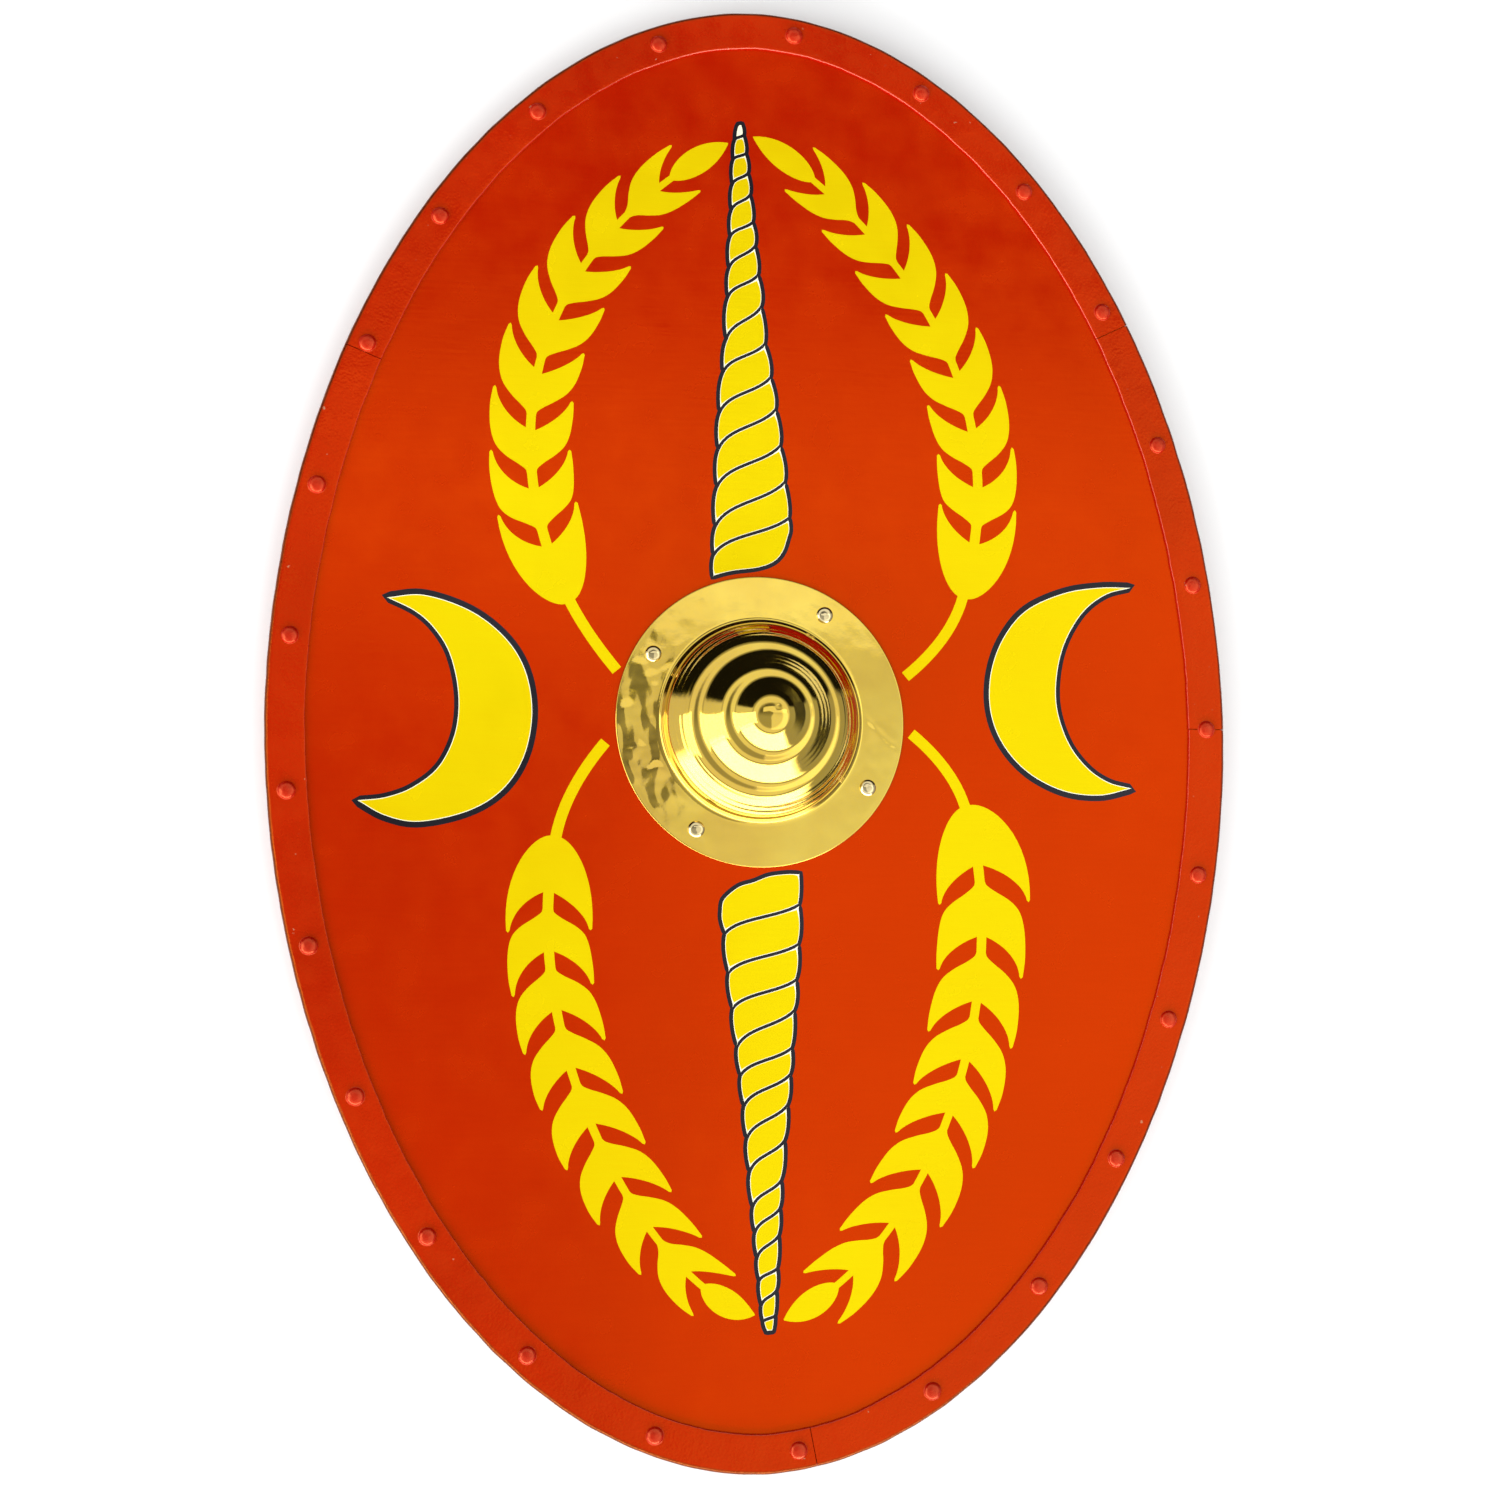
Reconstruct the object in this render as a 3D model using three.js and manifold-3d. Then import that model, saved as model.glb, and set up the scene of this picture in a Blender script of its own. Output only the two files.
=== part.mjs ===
// A flat oval shield of painted wood with a folded leather edging, a riveted rim and a spun brass boss.
// Millimetres. Seen from the front, +X is the shield's right and +Y its top, and +Z points out of the
// painted face. The shield lies on its back: the underside of the wooden grip is at Z = 0, and the
// origin is under the middle of the boss.

import * as THREE from 'three';
import { mergeVertices } from 'three/addons/utils/BufferGeometryUtils.js';
import Module from 'manifold-3d';

const wasm = await Module();
wasm.setup();

// Fit between pieces that touch
const fit = 0.3;
const cutPast = 1; // how far a cutting form runs past the face that it opens

// Outline of the finished shield, over the edging
const halfWidth = 353;
const halfHeight = 532.5;
const outlinePower = 1.93; // 2 would be a true ellipse

// Board
const boardThickness = 8;
const handHoleLedge = 6; // how far the board reaches in under the foot of the dome

// Leather edging
const leatherThickness = 2.2;
const edgingWidth = 28;
const edgingRound = 1.4;
const seamGap = 0.6;

// Rim rivets
const rimRivetCount = 25;
const rimRivetInset = 14.4;

// Rivets of both kinds
const rivetHeadRadius = 6.2;
const rivetHeadHeight = 2.8;
const rivetShoulder = 0.7; // how high up the head its edge turns over, as a share
const rivetCrown = 0.8; // the head's radius there, as a share
const rivetShankRadius = 2;
const rivetTailRadius = 3.6;
const rivetTailHeight = 1.4;

// Boss, from the middle outwards
const brassThickness = 1.2;
const capRadius = 13.5;
const capRise = 2.6;
const innerSlopeRun = 13.5;
const innerSlopeRise = 11;
const middleSlopeRun = 14;
const middleSlopeRise = 12;
const outerSlopeRun = 18;
const outerSlopeRise = 23.5;
const shelfWidth = 7;
const shelfRise = 1.4;
const bendEase = 2; // rounding of each bend in the spun metal
const flangeWidth = 33;
const bossRivetInset = 14;
const bossRivetCount = 4;
const bossRivetTurn = THREE.MathUtils.degToRad(59);

// Grip
const gripThickness = 18;
const gripEndWidth = 42;
const gripWaistShare = 0.4; // how much of the hand hole the straight waist crosses
const gripFlareShare = 0.7; // where the waist has half widened to the ends
const gripWaistWidth = 30;
const gripEndLap = 52; // how far each end laps the board beside the hand hole
const gripRound = 2.5;

// Grip screws
const screwHeadRadius = 4;
const screwShankRadius = 1.9;
const screwHeadSink = 0.8;
const screwBite = 5; // how far the point goes into the board
const screwFromEnd = 17;
const screwSpacing = 20;
const screwSlotWidth = 1.1;
const screwSlotDepth = 1;

// Number of flat faces on the round forms
const stationCount = 84; // a multiple of four puts a corner at each tip
const rivetSides = 8;
const holeSides = 6;
const leastStep = 0.02; // a station nearer than this to a seam is left out, as a share of a step
const bossSides = 32;
const handHoleSides = 32;

// Sizes that follow from the ones above
const domeRadius = capRadius + innerSlopeRun + middleSlopeRun + outerSlopeRun + 2 * shelfWidth;
const flangeRadius = domeRadius + flangeWidth;
const bossRivetCircle = flangeRadius - bossRivetInset;
const handHoleRadius = domeRadius - handHoleLedge;
const shankHoleRadius = rivetShankRadius + fit;
const boardBack = gripThickness + fit;
const boardFront = boardBack + boardThickness;
const boardInset = leatherThickness + fit;
const edgingBack = boardBack - fit - leatherThickness;
const edgingFront = boardFront + fit + leatherThickness;
const flangeBack = boardFront + fit;
const flangeFront = flangeBack + brassThickness;
const gripHalfLength = handHoleRadius + gripEndLap;

// The seams between the lengths of edging: the rivet that each is beside, counted from the right-hand
// tip anticlockwise, and how far past it the seam lies
const seams = [
  { rivet: 0, past: 0, next: 'edging_upper_right' },
  { rivet: 3, past: -17, next: 'edging_top' },
  { rivet: 10, past: 7, next: 'edging_left' },
  { rivet: 19, past: 12, next: 'edging_lower_right' },
];

// Materials
const redPaint = () => new THREE.MeshStandardMaterial({ color: 0xc83403, roughness: 0.3, metalness: 0 });
const brass = () => new THREE.MeshStandardMaterial({ color: 0xd9b24a, roughness: 0.15, metalness: 1 });
const bareWood = () => new THREE.MeshStandardMaterial({ color: 0xa9793f, roughness: 0.6, metalness: 0 });
const steel = () => new THREE.MeshStandardMaterial({ color: 0x8b8f94, roughness: 0.4, metalness: 1 });

const shield = new THREE.Group();

function addPiece(name, geometry, material, x = 0, y = 0, z = 0) {
  const mesh = new THREE.Mesh(geometry, material);
  mesh.name = name;
  mesh.position.set(x, y, z);
  shield.add(mesh);
}

// Solids for joining and cutting
function solidOf(geometry) {
  const bare = geometry.clone();
  bare.deleteAttribute('normal');
  bare.deleteAttribute('uv');
  const merged = mergeVertices(bare);
  const corners = merged.index.array;
  const kept = [];
  for (let i = 0; i < corners.length; i += 3) {
    const [a, b, c] = corners.slice(i, i + 3);
    if (a !== b && b !== c && c !== a) kept.push(a, b, c);
  }
  return new wasm.Manifold(new wasm.Mesh({
    numProp: 3,
    vertProperties: new Float32Array(merged.attributes.position.array),
    triVerts: new Uint32Array(kept),
  }));
}

function geometryOf(solid) {
  const { vertProperties, triVerts } = solid.getMesh();
  const geometry = new THREE.BufferGeometry();
  geometry.setAttribute('position', new THREE.BufferAttribute(vertProperties, 3));
  geometry.setIndex(new THREE.BufferAttribute(triVerts, 1));
  geometry.computeVertexNormals();
  return geometry;
}

function cutFrom(body, tools) {
  return tools.reduce((rest, tool) => rest.subtract(solidOf(tool)), solidOf(body));
}

// Turned forms: a profile of [radius, height] corners, turned about the Z axis
function turned(profile, sides) {
  const points = profile.map(([radius, height]) => new THREE.Vector2(radius, height));
  return new THREE.LatheGeometry(points, sides).rotateX(Math.PI / 2);
}

// A hole's corners lie outside its radius, so that its flats clear what goes through it
const holeCorner = 1 / Math.cos(Math.PI / holeSides);

// A straight drill hole along Z, from one height to another
function drill(x, y, radius, from, to) {
  const corner = radius * holeCorner;
  const cylinder = new THREE.CylinderGeometry(corner, corner, to - from, holeSides);
  return cylinder.rotateX(Math.PI / 2).translate(x, y, (from + to) / 2);
}

function roundPath(x, y, radius, sides) {
  const corners = [];
  for (let i = 0; i < sides; i += 1) {
    const angle = (2 * Math.PI * i) / sides;
    corners.push(new THREE.Vector2(x + radius * Math.cos(angle), y + radius * Math.sin(angle)));
  }
  return new THREE.Path(corners);
}

// Outline: one quarter is measured along its length, and the other three mirror it
function quarterPoint(angle) {
  const x = halfWidth * Math.max(Math.cos(angle), 0) ** (2 / outlinePower);
  const y = halfHeight * Math.max(Math.sin(angle), 0) ** (2 / outlinePower);
  return new THREE.Vector2(x, y);
}

class Quarter extends THREE.Curve {
  getPoint(t, target = new THREE.Vector2()) {
    return target.copy(quarterPoint((t * Math.PI) / 2));
  }
}

const quarter = new Quarter();
quarter.arcLengthDivisions = 2000;
const perimeter = 4 * quarter.getLength();

// A point of the smooth outline at a share of the way round from the right-hand tip, moved inwards
function outlinePoint(share, inset) {
  const turns = (((share % 1) + 1) % 1) * 4;
  const side = Math.floor(turns);
  const along = side % 2 ? 1 - (turns - side) : turns - side;
  const point = quarter.getPointAt(along, new THREE.Vector2());
  const normal = new THREE.Vector2(
    (point.x / halfWidth) ** (outlinePower - 1) / halfWidth,
    (point.y / halfHeight) ** (outlinePower - 1) / halfHeight,
  ).normalize();
  const inner = point.addScaledVector(normal, -inset);
  const signX = side === 1 || side === 2 ? -1 : 1;
  const signY = side > 1 ? -1 : 1;
  return new THREE.Vector2(inner.x * signX, inner.y * signY);
}

// The same on the many-sided outline that the board and the edging share
function facetPoint(share, inset) {
  const station = Math.floor(share * stationCount);
  const rest = share * stationCount - station;
  const before = outlinePoint(station / stationCount, inset);
  const after = outlinePoint((station + 1) / stationCount, inset);
  return before.lerp(after, rest);
}

function facetPath(from, to, inset) {
  const shares = [from];
  const first = Math.ceil(from * stationCount + leastStep);
  const last = Math.floor(to * stationCount - leastStep);
  for (let station = first; station <= last; station += 1) shares.push(station / stationCount);
  shares.push(to);
  return shares.map((share) => facetPoint(share, inset));
}

// Rivets: a domed head, a shank and a closed tail
function rivet(length) {
  return turned([
    [0, -length - rivetTailHeight],
    [rivetTailRadius, -length],
    [rivetShankRadius, -length],
    [rivetShankRadius, 0],
    [rivetHeadRadius, 0],
    [rivetHeadRadius * rivetCrown, rivetHeadHeight * rivetShoulder],
    [0, rivetHeadHeight],
  ], rivetSides);
}

// Board
const rimRivetPlaces = Array.from({ length: rimRivetCount }, (_, i) => outlinePoint(i / rimRivetCount, rimRivetInset));
const bossRivetPlaces = Array.from({ length: bossRivetCount }, (_, i) => {
  const angle = bossRivetTurn + (2 * Math.PI * i) / bossRivetCount;
  return new THREE.Vector2(bossRivetCircle * Math.cos(angle), bossRivetCircle * Math.sin(angle));
});
const screwPlaces = [];
for (const side of [-1, 1]) {
  for (const edge of [-1, 1]) {
    screwPlaces.push(new THREE.Vector2(side * (gripHalfLength - screwFromEnd), (edge * screwSpacing) / 2));
  }
}

function board() {
  const outline = [];
  for (let i = 0; i < stationCount; i += 1) outline.push(facetPoint(i / stationCount, boardInset));
  const face = new THREE.Shape(outline);
  face.holes.push(roundPath(0, 0, handHoleRadius, handHoleSides));
  for (const place of [...rimRivetPlaces, ...bossRivetPlaces]) {
    face.holes.push(roundPath(place.x, place.y, shankHoleRadius * holeCorner, holeSides));
  }
  const plate = new THREE.ExtrudeGeometry(face, { depth: boardThickness, bevelEnabled: false });
  plate.translate(0, 0, boardBack);
  const pilots = screwPlaces.map((place) => drill(
    place.x, place.y, screwShankRadius + fit, boardBack - cutPast, boardBack + screwBite + fit,
  ));
  return geometryOf(cutFrom(plate, pilots));
}

addPiece('board', board(), redPaint());

// Edging: a rounded band, hollowed for the board's edge and drilled for the rivets
function bandShape(from, to, outerInset, innerInset) {
  return new THREE.Shape([...facetPath(from, to, outerInset), ...facetPath(from, to, innerInset).reverse()]);
}

function edging(from, to) {
  const height = edgingFront - edgingBack;
  const band = new THREE.ExtrudeGeometry(bandShape(from, to, 0, edgingWidth), {
    depth: height - 2 * edgingRound,
    bevelThickness: edgingRound,
    bevelSize: edgingRound,
    bevelOffset: -edgingRound,
    bevelSegments: 1,
  });
  band.translate(0, 0, edgingBack + edgingRound);
  const past = cutPast / perimeter;
  const slot = new THREE.ExtrudeGeometry(
    bandShape(from - past, to + past, leatherThickness, edgingWidth + leatherThickness),
    { depth: boardThickness + 2 * fit, bevelEnabled: false },
  );
  slot.translate(0, 0, boardBack - fit);
  const near = rimRivetPlaces.filter((_, i) => {
    const share = i / rimRivetCount;
    const reach = (shankHoleRadius + cutPast) / perimeter;
    return [share, share + 1].some((place) => place > from - reach && place < to + reach);
  });
  const holes = near.map((place) => drill(
    place.x, place.y, shankHoleRadius, edgingBack - cutPast, edgingFront + cutPast,
  ));
  return geometryOf(cutFrom(band, [slot, ...holes]));
}

seams.forEach((seam, i) => {
  const shareOf = ({ rivet: number, past }) => number / rimRivetCount + past / perimeter;
  const end = i + 1 < seams.length ? shareOf(seams[i + 1]) : 1 + shareOf(seams[0]);
  const half = seamGap / 2 / perimeter;
  addPiece(seam.next, edging(shareOf(seam) + half, end - half), redPaint());
});

rimRivetPlaces.forEach((place, i) => {
  const name = `rim_rivet_${String(i + 1).padStart(2, '0')}`;
  const through = edgingFront - edgingBack + 2 * fit;
  addPiece(name, rivet(through), redPaint(), place.x, place.y, edgingFront + fit);
});

// Boss: the outer side of the metal, from the middle of the cap to the edge of the flange
function bossFace() {
  const corners = [[0, 0]];
  const go = (run, fall) => {
    const [radius, height] = corners.at(-1);
    corners.push([radius + run, height - fall]);
  };
  go(capRadius, capRise);
  go(innerSlopeRun, innerSlopeRise);
  go(shelfWidth, shelfRise);
  go(middleSlopeRun, middleSlopeRise);
  go(shelfWidth, shelfRise);
  go(outerSlopeRun, outerSlopeRise);
  go(flangeWidth, 0);
  const top = -corners.at(-1)[1];
  return corners.map(([radius, height]) => new THREE.Vector2(radius, height + top));
}

// Each bend becomes two corners, one on either side of it
function easeBends(line) {
  const eased = [line[0]];
  for (let i = 1; i < line.length - 1; i += 1) {
    for (const other of [line[i - 1], line[i + 1]]) {
      const reach = Math.min(bendEase, line[i].distanceTo(other) / 3);
      eased.push(line[i].clone().add(other.clone().sub(line[i]).setLength(reach)));
    }
  }
  eased.push(line.at(-1));
  return eased;
}

// The other side of the metal, one thickness below
function underside(line, thickness) {
  return line.map((point, i) => {
    const before = line[Math.max(i - 1, 0)];
    const after = line[Math.min(i + 1, line.length - 1)];
    const along = after.clone().sub(before).normalize();
    const below = new THREE.Vector2(along.y, -along.x).multiplyScalar(thickness);
    const moved = point.clone().add(below);
    if (i === 0) moved.set(0, point.y - thickness);
    if (i === line.length - 1) moved.set(point.x, point.y - thickness);
    return moved;
  });
}

function boss() {
  const face = easeBends(bossFace());
  const profile = [...underside(face, brassThickness), ...face.slice().reverse()];
  const shell = turned(profile.map((point) => [point.x, point.y]), bossSides);
  shell.translate(0, 0, flangeFront);
  const holes = bossRivetPlaces.map((place) => drill(
    place.x, place.y, shankHoleRadius, flangeBack - cutPast, flangeFront + cutPast,
  ));
  return geometryOf(cutFrom(shell, holes));
}

addPiece('boss', boss(), brass());
bossRivetPlaces.forEach((place, i) => {
  const through = flangeFront - boardBack + 2 * fit;
  addPiece(`boss_rivet_${i + 1}`, rivet(through), brass(), place.x, place.y, flangeFront + fit);
});

// Grip screws: a countersunk head, sunk a little below the wood
function screw(clearance) {
  const top = boardBack + screwBite;
  const cone = screwHeadRadius - screwShankRadius;
  return [
    [0, screwHeadSink - clearance],
    [screwHeadRadius + clearance, screwHeadSink - clearance],
    [screwShankRadius + clearance, screwHeadSink + cone],
    [screwShankRadius + clearance, top - screwShankRadius],
    [0, top + clearance],
  ];
}

// Grip: a flat bar with square-cornered ends and a waist for the hand
function grip() {
  const end = gripHalfLength;
  const wide = gripEndWidth / 2;
  const waist = gripWaistWidth / 2;
  const foot = handHoleRadius;
  const flare = handHoleRadius * gripFlareShare;
  const neck = handHoleRadius * gripWaistShare;
  const outline = new THREE.Shape();
  outline.moveTo(end, -wide);
  outline.lineTo(end, wide);
  outline.lineTo(foot, wide);
  outline.bezierCurveTo(flare, wide, flare, waist, neck, waist);
  outline.lineTo(-neck, waist);
  outline.bezierCurveTo(-flare, waist, -flare, wide, -foot, wide);
  outline.lineTo(-end, wide);
  outline.lineTo(-end, -wide);
  outline.lineTo(-foot, -wide);
  outline.bezierCurveTo(-flare, -wide, -flare, -waist, -neck, -waist);
  outline.lineTo(neck, -waist);
  outline.bezierCurveTo(flare, -waist, flare, -wide, foot, -wide);
  const bar = new THREE.ExtrudeGeometry(outline, {
    depth: gripThickness - 2 * gripRound,
    bevelThickness: gripRound,
    bevelSize: gripRound,
    bevelOffset: -gripRound,
    bevelSegments: 1,
    curveSegments: 4,
  });
  bar.translate(0, 0, gripRound);
  const holes = screwPlaces.map((place) => {
    const mouth = drill(place.x, place.y, screwHeadRadius + fit, -cutPast, screwHeadSink);
    const seat = turned(screw(fit), holeSides).scale(holeCorner, holeCorner, 1).translate(place.x, place.y, 0);
    return solidOf(seat).add(solidOf(mouth));
  });
  return geometryOf(holes.reduce((rest, hole) => rest.subtract(hole), solidOf(bar)));
}

addPiece('grip', grip(), bareWood());
screwPlaces.forEach((place, i) => {
  const slot = new THREE.BoxGeometry(3 * screwHeadRadius, screwSlotWidth, 2 * screwSlotDepth);
  slot.rotateZ(i + 1).translate(0, 0, screwHeadSink);
  const body = cutFrom(turned(screw(0), rivetSides), [slot]);
  addPiece(`grip_screw_${i + 1}`, geometryOf(body), steel(), place.x, place.y, 0);
});

export default shield;
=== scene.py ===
# The looks of a flat oval shield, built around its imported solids: a painted wooden board, a leather
# edging with domed rivets, a spun brass boss and a wooden grip at the back.
# Shapes are worked out in millimetres and made in metres. Seen from the front, +X is the shield's
# right and +Y its top, and +Z points out of the painted face.

import math

import bmesh
import bpy
import numpy as np
from mathutils import Matrix, Vector, noise
from mathutils.geometry import delaunay_2d_cdt


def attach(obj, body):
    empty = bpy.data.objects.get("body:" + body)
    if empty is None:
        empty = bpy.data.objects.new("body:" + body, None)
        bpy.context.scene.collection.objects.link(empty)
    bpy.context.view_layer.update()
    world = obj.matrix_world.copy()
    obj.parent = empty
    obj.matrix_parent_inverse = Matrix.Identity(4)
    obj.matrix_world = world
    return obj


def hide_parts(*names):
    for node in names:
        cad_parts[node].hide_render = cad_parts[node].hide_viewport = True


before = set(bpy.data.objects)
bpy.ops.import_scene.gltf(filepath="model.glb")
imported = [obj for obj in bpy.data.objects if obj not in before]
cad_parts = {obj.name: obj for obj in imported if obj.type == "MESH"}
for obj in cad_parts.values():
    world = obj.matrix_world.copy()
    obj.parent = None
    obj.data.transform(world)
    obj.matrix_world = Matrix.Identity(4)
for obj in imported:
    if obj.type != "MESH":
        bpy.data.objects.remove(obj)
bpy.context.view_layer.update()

MM = 0.001

# Sizes of the solids
HALF_WIDTH = 353
HALF_HEIGHT = 532.5
OUTLINE_POWER = 1.93
BOARD_BACK = 18.3
BOARD_FRONT = 26.3
BOARD_INSET = 2.5
EDGING_BACK = 15.8
EDGING_FRONT = 28.8
EDGING_WIDTH = 28
EDGING_INNER_INSET = 2.3
RIM_RIVET_COUNT = 25
RIM_RIVET_INSET = 14.4
RIVET_HEAD_RADIUS = 6.2
RIVET_SHANK_RADIUS = 2
RIVET_TAIL_RADIUS = 3.6
FLANGE_FRONT = 27.8
FLANGE_BACK = 26.4
DOME_RADIUS = 73
FLANGE_RADIUS = 106
HAND_HOLE_RADIUS = 67
BOSS_RIVET_CIRCLE = 92
BOSS_RIVET_TURN = 59
GRIP_HALF_LENGTH = 119
GRIP_THICKNESS = 18

# Seams between the lengths of edging: the length that starts there, the rim rivet beside the seam,
# counted from 0, and how far past that rivet the seam lies
SEAM_GAP = 0.6
SEAMS = (
    ("edging_upper_right", 0, 0.0),
    ("edging_top", 3, -17.0),
    ("edging_left", 10, 7.0),
    ("edging_lower_right", 19, 12.0),
)


# Outline of the shield, measured along its length and mirrored from one quarter
QUARTER_STEPS = 2000
quarter_x = []
quarter_y = []
for step in range(QUARTER_STEPS + 1):
    angle = math.pi / 2 * step / QUARTER_STEPS
    quarter_x.append(HALF_WIDTH * max(math.cos(angle), 0) ** (2 / OUTLINE_POWER))
    quarter_y.append(HALF_HEIGHT * max(math.sin(angle), 0) ** (2 / OUTLINE_POWER))
quarter_length = np.concatenate(([0], np.cumsum(np.hypot(np.diff(quarter_x), np.diff(quarter_y)))))
PERIMETER = 4 * quarter_length[-1]


def outline_place(share):
    """A point of the outline and the direction that points straight out of it there."""
    turns = (share % 1) * 4
    side = int(turns)
    along = 1 - (turns - side) if side % 2 else turns - side
    x = float(np.interp(along * quarter_length[-1], quarter_length, quarter_x))
    y = float(np.interp(along * quarter_length[-1], quarter_length, quarter_y))
    out = Vector((
        (x / HALF_WIDTH) ** (OUTLINE_POWER - 1) / HALF_WIDTH,
        (y / HALF_HEIGHT) ** (OUTLINE_POWER - 1) / HALF_HEIGHT,
    )).normalized()
    sign_x = -1 if side in (1, 2) else 1
    sign_y = -1 if side > 1 else 1
    return Vector((x * sign_x, y * sign_y)), Vector((out.x * sign_x, out.y * sign_y))


def outline_point(share, inset):
    point, out = outline_place(share)
    return point - out * inset


# Making meshes
def linked(name, data):
    """A new object in the scene, with this mesh, light or camera."""
    obj = bpy.data.objects.new(name, data)
    bpy.context.scene.collection.objects.link(obj)
    return obj


def mesh_of(shape, name, materials):
    """The finished mesh of a bmesh made in millimetres."""
    bmesh.ops.recalc_face_normals(shape, faces=shape.faces)
    bmesh.ops.scale(shape, vec=(MM, MM, MM), verts=shape.verts)
    mesh = bpy.data.meshes.new(name)
    shape.to_mesh(mesh)
    shape.free()
    for material in materials:
        mesh.materials.append(material)
    return mesh


def new_piece(name, verts, faces, material, node, sharp):
    """A piece in place of this node. Bends steeper than sharp, in degrees, stay sharp."""
    mesh = bpy.data.meshes.new(name)
    mesh.from_pydata([Vector(v) * MM for v in verts], [], faces)
    mesh.polygons.foreach_set("use_smooth", [True] * len(mesh.polygons))
    mesh.update()
    mesh.set_sharp_from_angle(angle=math.radians(sharp))
    mesh.materials.append(material)
    obj = linked(name, mesh)
    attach(obj, "root")
    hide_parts(node)


def ring_faces(first, second, count):
    """Faces between two closed rows of points that start at these numbers."""
    return [
        (first + i, first + (i + 1) % count, second + (i + 1) % count, second + i)
        for i in range(count)
    ]


def unmoved(point, radius):
    return point


def turned(profile, sides, centre=(0, 0), move=unmoved):
    """A closed form turned about Z. The profile goes from the axis to the axis, anticlockwise. Each point
    but the last is moved by a function of the point and its radius."""
    verts, faces = [], []
    verts.append(move(Vector((centre[0], centre[1], profile[0][1])), 0))
    for radius, height in profile[1:-1]:
        for side in range(sides):
            turn = 2 * math.pi * side / sides
            x = centre[0] + radius * math.cos(turn)
            y = centre[1] + radius * math.sin(turn)
            verts.append(move(Vector((x, y, height)), radius))
    verts.append(Vector((centre[0], centre[1], profile[-1][1])))
    rings = len(profile) - 2
    faces += [(0, 1 + i, 1 + (i + 1) % sides) for i in range(sides)]
    for ring in range(rings - 1):
        faces += ring_faces(1 + (ring + 1) * sides, 1 + ring * sides, sides)
    end = len(verts) - 1
    start = 1 + (rings - 1) * sides
    faces += [(end, start + (i + 1) % sides, start + i) for i in range(sides)]
    return verts, faces


def cubic(a, b, c, d, count):
    """Points of a Bezier curve, both ends included."""
    points = []
    for i in range(count + 1):
        t = i / count
        u = 1 - t
        near_start = Vector(a) * u**3 + Vector(b) * 3 * u * u * t
        points.append(near_start + Vector(c) * 3 * u * t * t + Vector(d) * t**3)
    return points


def through(points, count):
    """A smooth curve through the points."""
    points = [Vector(p) for p in points]
    ends = [points[0] * 2 - points[1], *points, points[-1] * 2 - points[-2]]
    curve = []
    for before, a, b, after in zip(ends, ends[1:], ends[2:], ends[3:]):
        curve += cubic(a, a + (b - before) / 6, b - (after - a) / 6, b, count)[:-1]
    return curve + [points[-1]]


BEND_PART = 2.2


def rounded(corners, reach, steps):
    """A line with each of its bends rounded, over this reach or a little less than half of its sides."""
    line = [Vector(corners[0])]
    for before, corner, after in zip(corners, corners[1:], corners[2:]):
        before, corner, after = Vector(before), Vector(corner), Vector(after)
        near = corner + (before - corner).normalized() * min(reach, (before - corner).length / BEND_PART)
        far = corner + (after - corner).normalized() * min(reach, (after - corner).length / BEND_PART)
        line += cubic(near, near.lerp(corner, 2 / 3), far.lerp(corner, 2 / 3), far, steps)
    line.append(Vector(corners[-1]))
    return line


def divided(line, longest):
    """The line with points added so that no step is longer than this."""
    points = [line[0]]
    for a, b in zip(line, line[1:]):
        parts = max(1, math.ceil((b - a).length / longest))
        points += [a.lerp(b, i / parts) for i in range(1, parts + 1)]
    return points


def wobble(x, y, z, size):
    """Smooth noise from -1 to 1. Size is how broad its waves are, and z picks the pattern."""
    return noise.noise(Vector((x / size, y / size, z)))


def smooth_step(low, high, value):
    t = min(max((value - low) / (high - low), 0), 1)
    return t * t * (3 - 2 * t)


def band(value, start, whole, fading, end):
    """1 inside the band, and down to 0 at its start and its end."""
    return smooth_step(start, whole, value) * (1 - smooth_step(fading, end, value))


# Making materials
MIX_FACTOR = 0
MIX_FIRST = 6
MIX_SECOND = 7


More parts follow.
